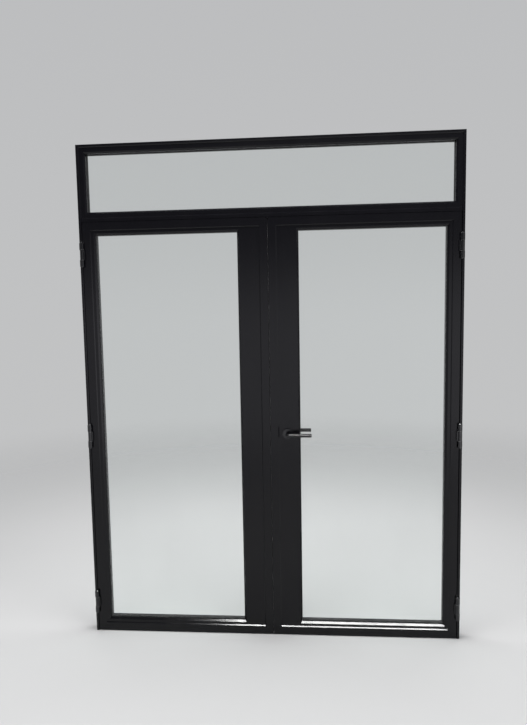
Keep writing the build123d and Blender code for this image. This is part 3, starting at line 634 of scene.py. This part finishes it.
# Bevelled caps on the six hinges, the pins' bright heads on the upper ones, thin washers
# between the knuckles, and a grub screw in each middle one
hingeTrim = {
    "pinReach": 50 * mm,  # the frame's knuckles lie this near their pin
    "pinBelow": 20 * mm,  # and start this little below it
    "capSlack": 0.3 * mm,
    "capEdge": 0.4 * mm,
    "capHeight": 3.1 * mm,
    "capBevels": ((30.8, 0.6 * mm), (41.6, 2.1 * mm)),  # degrees above level that each looks, width
    "capSoft": 0.06 * mm,
    "capTop": ((0.7, 0.7), (2, 1)),  # steps in and up to the flat top, in shares of the height left
    "capSharp": 50,
    "headRadius": 4.3 * mm,
    "headSunk": 0.3 * mm,
    "headRim": 0.25 * mm,
    "headTilt": 60,  # degrees that the head's dome leans at its rim
    "headSteps": 8,
    "headSharp": 25,
    "washerProud": 0.25 * mm,
    "washerBore": 4.3 * mm,
    "washerPlay": 0.03 * mm,
    "grubRadius": 2.4 * mm,
    "grubBevel": 0.15 * mm,
    "grubHex": 1.25 * mm,
    "grubDepth": 1.8 * mm,
    "grubProud": 0.1 * mm,
}


def capRings(radius, trim):
    rings = [(0, 0), (radius - trim["capEdge"], 0), (radius, trim["capEdge"])]
    height = trim["capEdge"]
    for looks, width in trim["capBevels"]:
        inward, upward = math.sin(math.radians(looks)), math.cos(math.radians(looks))
        for share in (trim["capSoft"], width - trim["capSoft"], width):
            rings.append((radius - inward * share, height + upward * share))
        radius, height = rings[-1]
    left = trim["capHeight"] - height
    for inward, upward in trim["capTop"]:
        rings.append((radius - inward * left, height + upward * left))
    rings.append((0, trim["capHeight"]))
    return rings


def headRings(trim):
    radius, tilt = trim["headRadius"], math.radians(trim["headTilt"])
    ball = radius / math.sin(tilt)
    rings = [(0, -trim["headSunk"]), (radius, -trim["headSunk"])]
    for step in range(trim["headSteps"] + 1):
        angle = tilt * (1 - step / trim["headSteps"])
        height = trim["headRim"] + ball * (math.cos(angle) - math.cos(tilt))
        rings.append((ball * math.sin(angle), height))
    rings[-1] = (0, rings[-1][1])
    return rings


def grubRings(trim):
    radius, hexSize, bevel = trim["grubRadius"], trim["grubHex"], trim["grubBevel"]
    low = -trim["grubDepth"] - 2 * bevel
    return [
        (0, low),
        (radius, low),
        (radius, -bevel),
        (radius - bevel, 0),
        (hexSize + bevel, 0),
        (hexSize, -bevel, "hex"),
        (hexSize, -trim["grubDepth"], "hex"),
        (0, -trim["grubDepth"]),
    ]


def makeHingeTrim(trim):
    caps, heads, washers = bmesh.new(), bmesh.new(), bmesh.new()
    grubs = {"left_leaf": bmesh.new(), "right_leaf": bmesh.new()}
    knuckles = solidsOf("hinge_frame_knuckles")
    for low, high in solidsOf("hinge_pins"):
        x, y = (low.x + high.x) / 2, (low.y + high.y) / 2
        mine = [box for box in knuckles if abs(box[0].x - x) < trim["pinReach"]]
        mine = [box for box in mine if low.z - trim["pinBelow"] < box[0].z < high.z]
        lower, upper = sorted(mine, key=lambda box: box[0].z)
        radius = y - lower[0].y
        bevelled = capRings(radius - trim["capSlack"], trim)
        turn(caps, bevelled, at(x, y, upper[1].z, "up"))
        turn(caps, bevelled, at(x, y, lower[0].z, "down"))
        turn(heads, headRings(trim), at(x, y, upper[1].z + trim["capHeight"], "up"))
        side = "right" if x > 0 else "left"
        for box in solidsOf(f"{side}_hinge_knuckles"):
            if low.z < box[0].z < high.z:
                middle = box
        outer, bore = radius + trim["washerProud"], trim["washerBore"]
        for start, end in ((lower[1].z, middle[0].z), (middle[1].z, upper[0].z)):
            start, end = start + trim["washerPlay"], end - trim["washerPlay"]
            ring = [(bore, start), (outer, start), (outer, end), (bore, end), (bore, start)]
            turn(washers, ring, at(x, y, 0, "up"))
        centre = (middle[0].z + middle[1].z) / 2
        front = middle[0].y - trim["grubProud"]
        turn(grubs[f"{side}_leaf"], grubRings(trim), at(x, front, centre, "front"))
    bmesh.ops.remove_doubles(washers, verts=washers.verts, dist=sameSpot)
    makePiece("hinge_caps", caps, fittings["cap black"], "frame", trim["capSharp"])
    steel = metals["polished steel"]
    makePiece("hinge_pin_heads", heads, steel, "frame", trim["headSharp"])
    makePiece("hinge_washers", washers, plastics["washer nylon"], "frame")
    for body, net in grubs.items():
        makePiece(f"{body}_hinge_grub_screws", net, fittings["fitting black"], body)


makeHingeTrim(hingeTrim)
print("hinge trim made")

# Grub screw under each lever's neck
leverScrew = {
    "fromNeckEnd": 11 * mm,
    "grubRadius": 2.6 * mm,
    "grubBevel": 0.15 * mm,
    "grubHex": 1.3 * mm,
    "grubDepth": 1.8 * mm,
    "grubProud": 0.1 * mm,
}


# The neck ends at the back of the outer lever's box and at the front of the inner one's
def makeLeverScrews(trim):
    net = bmesh.new()
    for lever, end, inward in (("lever_outer", 1, -1), ("lever_inner", 0, 1)):
        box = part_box(lever)
        radius = (box[1].z - box[0].z) / 2
        y = box[end].y + inward * trim["fromNeckEnd"]
        turn(net, grubRings(trim), at(box[0].x + radius, y, box[0].z - trim["grubProud"], "down"))
    makePiece("lever_grub_screws", net, metals["plated steel"], "lever")


makeLeverScrews(leverScrew)

# Countersunk screws that hold the lock's forend, the strike, the flush bolts and the keep
plateScrew = {
    "radius": 3.3 * mm,
    "proud": 0.12 * mm,
    "rim": 0.35 * mm,
    "rimSoft": 0.07 * mm,
    "rimSunk": 0.036 * mm,
    "under": 1.6 * mm,
    "core": 1.6 * mm,
    "hex": 1.5 * mm,
    "hexLead": 0.175 * mm,
    "hexDepth": 1.3 * mm,
    "inset": 9 * mm,
    "shortInset": 6.3 * mm,
    "steps": 24,
}


def screwRings(screw):
    return [
        (0, -screw["under"] - screw["proud"]),
        (screw["core"], -screw["under"] - screw["proud"]),
        (screw["radius"], -screw["proud"]),
        (screw["radius"] - screw["rimSoft"], -screw["rimSunk"]),
        (screw["radius"] - screw["rim"], 0),
        (screw["hex"] + screw["rim"], 0),
        (screw["hex"], -screw["hexLead"], "hex"),
        (screw["hex"], -screw["hexDepth"], "hex"),
        (0, -screw["hexDepth"]),
    ]


# Both ends of a plate that stands in a meeting edge and looks left or right
def screwPlate(net, box, way, inset, screw):
    low, high = box
    x = low.x - screw["proud"] if way == "left" else high.x + screw["proud"]
    for level in (low.z + inset, high.z - inset):
        place = at(x, (low.y + high.y) / 2, level, way)
        turn(net, screwRings(screw), place, screw["steps"])


def makePlateScrews(screw):
    net = bmesh.new()
    screwPlate(net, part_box("lock_case"), "left", screw["inset"], screw)
    makePiece("lock_screws", net, metals["plated steel"], "right_leaf")
    net = bmesh.new()
    screwPlate(net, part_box("strike_plate"), "right", screw["inset"], screw)
    for box in solidsOf("flush_bolt_housings"):
        screwPlate(net, box, "right", screw["shortInset"], screw)
    makePiece("strike_and_bolt_screws", net, metals["plated steel"], "left_leaf")
    net = bmesh.new()
    low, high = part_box("bolt_keep")
    for x in (low.x + screw["inset"], high.x - screw["inset"]):
        place = at(x, (low.y + high.y) / 2, low.z - screw["proud"], "down")
        turn(net, screwRings(screw), place, screw["steps"])
    makePiece("keep_screws", net, metals["plated steel"], "frame")


makePlateScrews(plateScrew)
print("screws made")

# Bristles on the brush strips, on both sides of each strip's fin
bristleLook = {
    "step": 0.85 * mm,
    "stepSpread": (0.85, 1.15),
    "sides": 3,
    "thick": 0.5 * mm,
    "tipShare": 0.55,  # of the thickness
    "aside": 0.72 * mm,
    "splay": 0.3 * mm,
    "splayOut": (0.1, 1),
    "rootLevel": 5.6 * mm,
    "rootDepth": 1.5 * mm,
    "uneven": 0.5 * mm,  # some tips end this far above the strip's foot
    "crossing": 0.5 * mm,  # tips of the two leaves pass each other
    "endGap": 12 * mm,
    "seed": 11,
}


def addBristle(net, root, tip, look):
    along = (tip - root).normalized()
    first = along.orthogonal().normalized() * look["thick"] / 2
    second = along.cross(first)
    loops = []
    for place, share in ((root, 1.0), (tip, look["tipShare"])):
        loop = []
        for step in range(look["sides"]):
            angle = step * math.tau / look["sides"]
            off = (first * math.cos(angle) + second * math.sin(angle)) * share
            loop.append(net.verts.new(place + off))
        loops.append(loop)
    for step in range(look["sides"]):
        after = (step + 1) % look["sides"]
        net.faces.new((loops[0][step], loops[0][after], loops[1][after], loops[1][step]))
    net.faces.new(loops[0])
    net.faces.new(loops[1])


def makeBristles(leaf, toward, look):
    draw = random.Random(look["seed"] + toward)
    low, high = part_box(f"{leaf}_seals")
    nearest, farthest = sorted((abs(low.x), abs(high.x)))
    depth = (low.y + high.y) / 2
    net = bmesh.new()
    for row in (-1, 1):
        spot = nearest + look["endGap"]
        while spot < farthest - look["step"]:
            lean = Vector((draw.uniform(-1, 1), row * draw.uniform(*look["splayOut"]), 0)) * look["splay"]
            root = Vector((toward * spot, depth + row * look["aside"], look["rootLevel"]))
            tip = Vector((root.x, root.y, low.z + draw.uniform(0, look["uneven"]))) + lean
            addBristle(net, root, tip, look)
            spot += look["step"] * draw.uniform(*look["stepSpread"])
        level = low.z + look["endGap"]
        while level < high.z - look["step"]:
            lean = Vector((0, row * draw.uniform(*look["splayOut"]), draw.uniform(-1, 1))) * look["splay"]
            root = Vector((toward * look["rootDepth"], depth + row * look["aside"], level))
            tip = Vector((-toward * draw.uniform(0, look["crossing"]), root.y, level)) + lean
            addBristle(net, root, tip, look)
            level += look["step"] * draw.uniform(*look["stepSpread"])
    makePiece(f"{leaf}_bristles", net, brush, f"{leaf}_leaf")


for leaf, toward in (("left", -1), ("right", 1)):
    makeBristles(leaf, toward, bristleLook)
print("bristles made")

# Camera where the photo was taken from, its turns in degrees and its focal length in pixels
cameraLook = {
    "spot": (0.164, -2.688, 1.650),
    "turn": 4.12,
    "tilt": -4.96,
    "roll": 0.98,
    "focal": 544.6,
    "photoHeight": 725,
    "sensor": 36,
    "clip": (0.05, 100),
}


def makeCamera(look):
    lens = bpy.data.cameras.new("camera")
    lens.sensor_fit = "AUTO"
    lens.sensor_width = look["sensor"]
    lens.lens = look["focal"] / look["photoHeight"] * look["sensor"]
    lens.clip_start, lens.clip_end = look["clip"]
    camera = bpy.data.objects.new("camera", lens)
    bpy.context.scene.collection.objects.link(camera)
    aim = (
        Matrix.Rotation(math.radians(look["turn"]), 4, "Z")
        @ Matrix.Rotation(math.radians(look["tilt"]), 4, "X")
        @ Matrix.Rotation(math.radians(look["roll"]), 4, "Y")
        @ Matrix.Rotation(math.pi / 2, 4, "X")  # lays the view level, along Y
    )
    camera.matrix_world = Matrix.Translation(look["spot"]) @ aim
    bpy.context.scene.camera = camera


makeCamera(cameraLook)

# Pale floor that fades into a pale backdrop
floorLook = {
    "colour": (0.56, 0.56, 0.56, 1),
    "pale": (0.588, 0.588, 0.588, 1),
    "cloud": {"scale": 1.3, "detail": 5},
    "radius": 14,
    "sides": 96,
    "fade": (0.8, 6.5),  # metres from the middle where the fade starts and ends
}


def makeFloor(look):
    net = bmesh.new()
    bmesh.ops.create_circle(net, cap_ends=True, segments=look["sides"], radius=look["radius"])
    mesh = bpy.data.meshes.new("floor")
    net.to_mesh(mesh)
    net.free()
    floor = bpy.data.objects.new("floor", mesh)
    bpy.context.scene.collection.objects.link(floor)
    material, sheet = newMaterial("floor")
    colour = sheet.mixColour(sheet.noise(**look["cloud"]), look["colour"], look["pale"])
    far = (sheet.spot("X") ** 2 + sheet.spot("Y") ** 2) ** 0.5
    fade = sheet.ramp(far, *look["fade"], "SMOOTHSTEP")
    solid = sheet.put("ShaderNodeBsdfDiffuse", None, {"Color": colour})
    clear = sheet.put("ShaderNodeBsdfTransparent")
    sheet.end(sheet.mixShader(fade, solid, clear))
    mesh.materials.append(material)


makeFloor(floorLook)

# The backdrop is all that the camera and the glass see. The glow in front of the door shows
# only in reflections: bright at eye level, dark above, a little brighter on the right.
skyLook = {
    "backdropLow": (0.54, 0.545, 0.55, 1),
    "backdropHigh": (0.5, 0.505, 0.515, 1),
    "backdropRise": (-0.25, 0.75),  # from looking a little down to looking well up
    "glowLow": (1.05, 1.05, 1.1, 1),
    "glowHigh": (0.11, 0.114, 0.122, 1),
    "glowRise": (-0.03, 0.17),
    "glowAside": 0.6,
    "glowFront": (0.1, -0.3),  # from the back to the front
}


def makeSky(look):
    world = bpy.data.worlds.new("studio")
    bpy.context.scene.world = world
    world.use_nodes = True
    sheet = Sheet(world.node_tree)
    way = sheet.put("ShaderNodeTexCoord", out="Generated")
    aside, depth, level = [
        sheet.put("ShaderNodeSeparateXYZ", None, {0: way}, out=axis) for axis in "XYZ"
    ]
    rise = sheet.ramp(level, *look["backdropRise"], "SMOOTHSTEP")
    backdrop = sheet.mixColour(rise, look["backdropLow"], look["backdropHigh"])
    rise = sheet.ramp(level, *look["glowRise"], "SMOOTHSTEP")
    glow = sheet.mixColour(rise, look["glowLow"], look["glowHigh"])
    gain = {0: glow, "Scale": 1 + look["glowAside"] * aside}
    glow = sheet.put("ShaderNodeVectorMath", {"operation": "SCALE"}, gain)
    inFront = sheet.ramp(depth, *look["glowFront"], "SMOOTHSTEP")
    around = sheet.mixColour(inFront, backdrop, glow)
    direct = sheet.put("ShaderNodeLightPath", out="Is Camera Ray")
    through = sheet.put("ShaderNodeLightPath", out="Is Transmission Ray")
    colour = sheet.mixColour(direct + through, around, backdrop)
    sky = sheet.put("ShaderNodeBackground", None, {"Color": colour, "Strength": 1.0})
    sheet.put("ShaderNodeOutputWorld", None, {"Surface": sky})


makeSky(skyLook)

# Lamps: where each hangs, what it aims at, its width and depth, and its watts. The strip only
# gives glints, on the bevels and the fittings, and leaves out the parts whose names end in glass.
lamps = {
    "top box": {
        "spot": (0, -0.3, 4.8),
        "aim": (0, 0, 0),
        "size": (3.4, 2.6),
        "watts": 300,
        "light": True,
        "glints": False,
        "skips": None,
    },
    "glint strip": {
        "spot": (0.6, -2.6, 4.45),
        "aim": (0.6, 0, 0),
        "size": (3.0, 0.16),
        "watts": 260,
        "light": False,
        "glints": True,
        "skips": "glass",
    },
}


def makeLamp(name, look):
    lamp = bpy.data.lights.new(name, "AREA")
    lamp.shape = "RECTANGLE"
    lamp.size, lamp.size_y = look["size"]
    lamp.energy = look["watts"]
    holder = bpy.data.objects.new(name, lamp)
    bpy.context.scene.collection.objects.link(holder)
    spot = Vector(look["spot"])
    holder.location = spot
    holder.rotation_euler = (Vector(look["aim"]) - spot).to_track_quat("-Z", "Y").to_euler()
    holder.visible_camera = False
    holder.visible_transmission = False
    holder.visible_diffuse = look["light"]
    holder.visible_glossy = look["glints"]
    if look["skips"]:
        skipped = bpy.data.collections.new(f"skipped by the {name}")
        for part, thing in parts.items():
            if part.endswith(look["skips"]):
                skipped.objects.link(thing)
        for entry in skipped.collection_objects:
            entry.light_linking.link_state = "EXCLUDE"
        holder.light_linking.receiver_collection = skipped


for name, look in lamps.items():
    makeLamp(name, look)
bpy.context.scene.view_settings.view_transform = "Standard"
print("studio set")
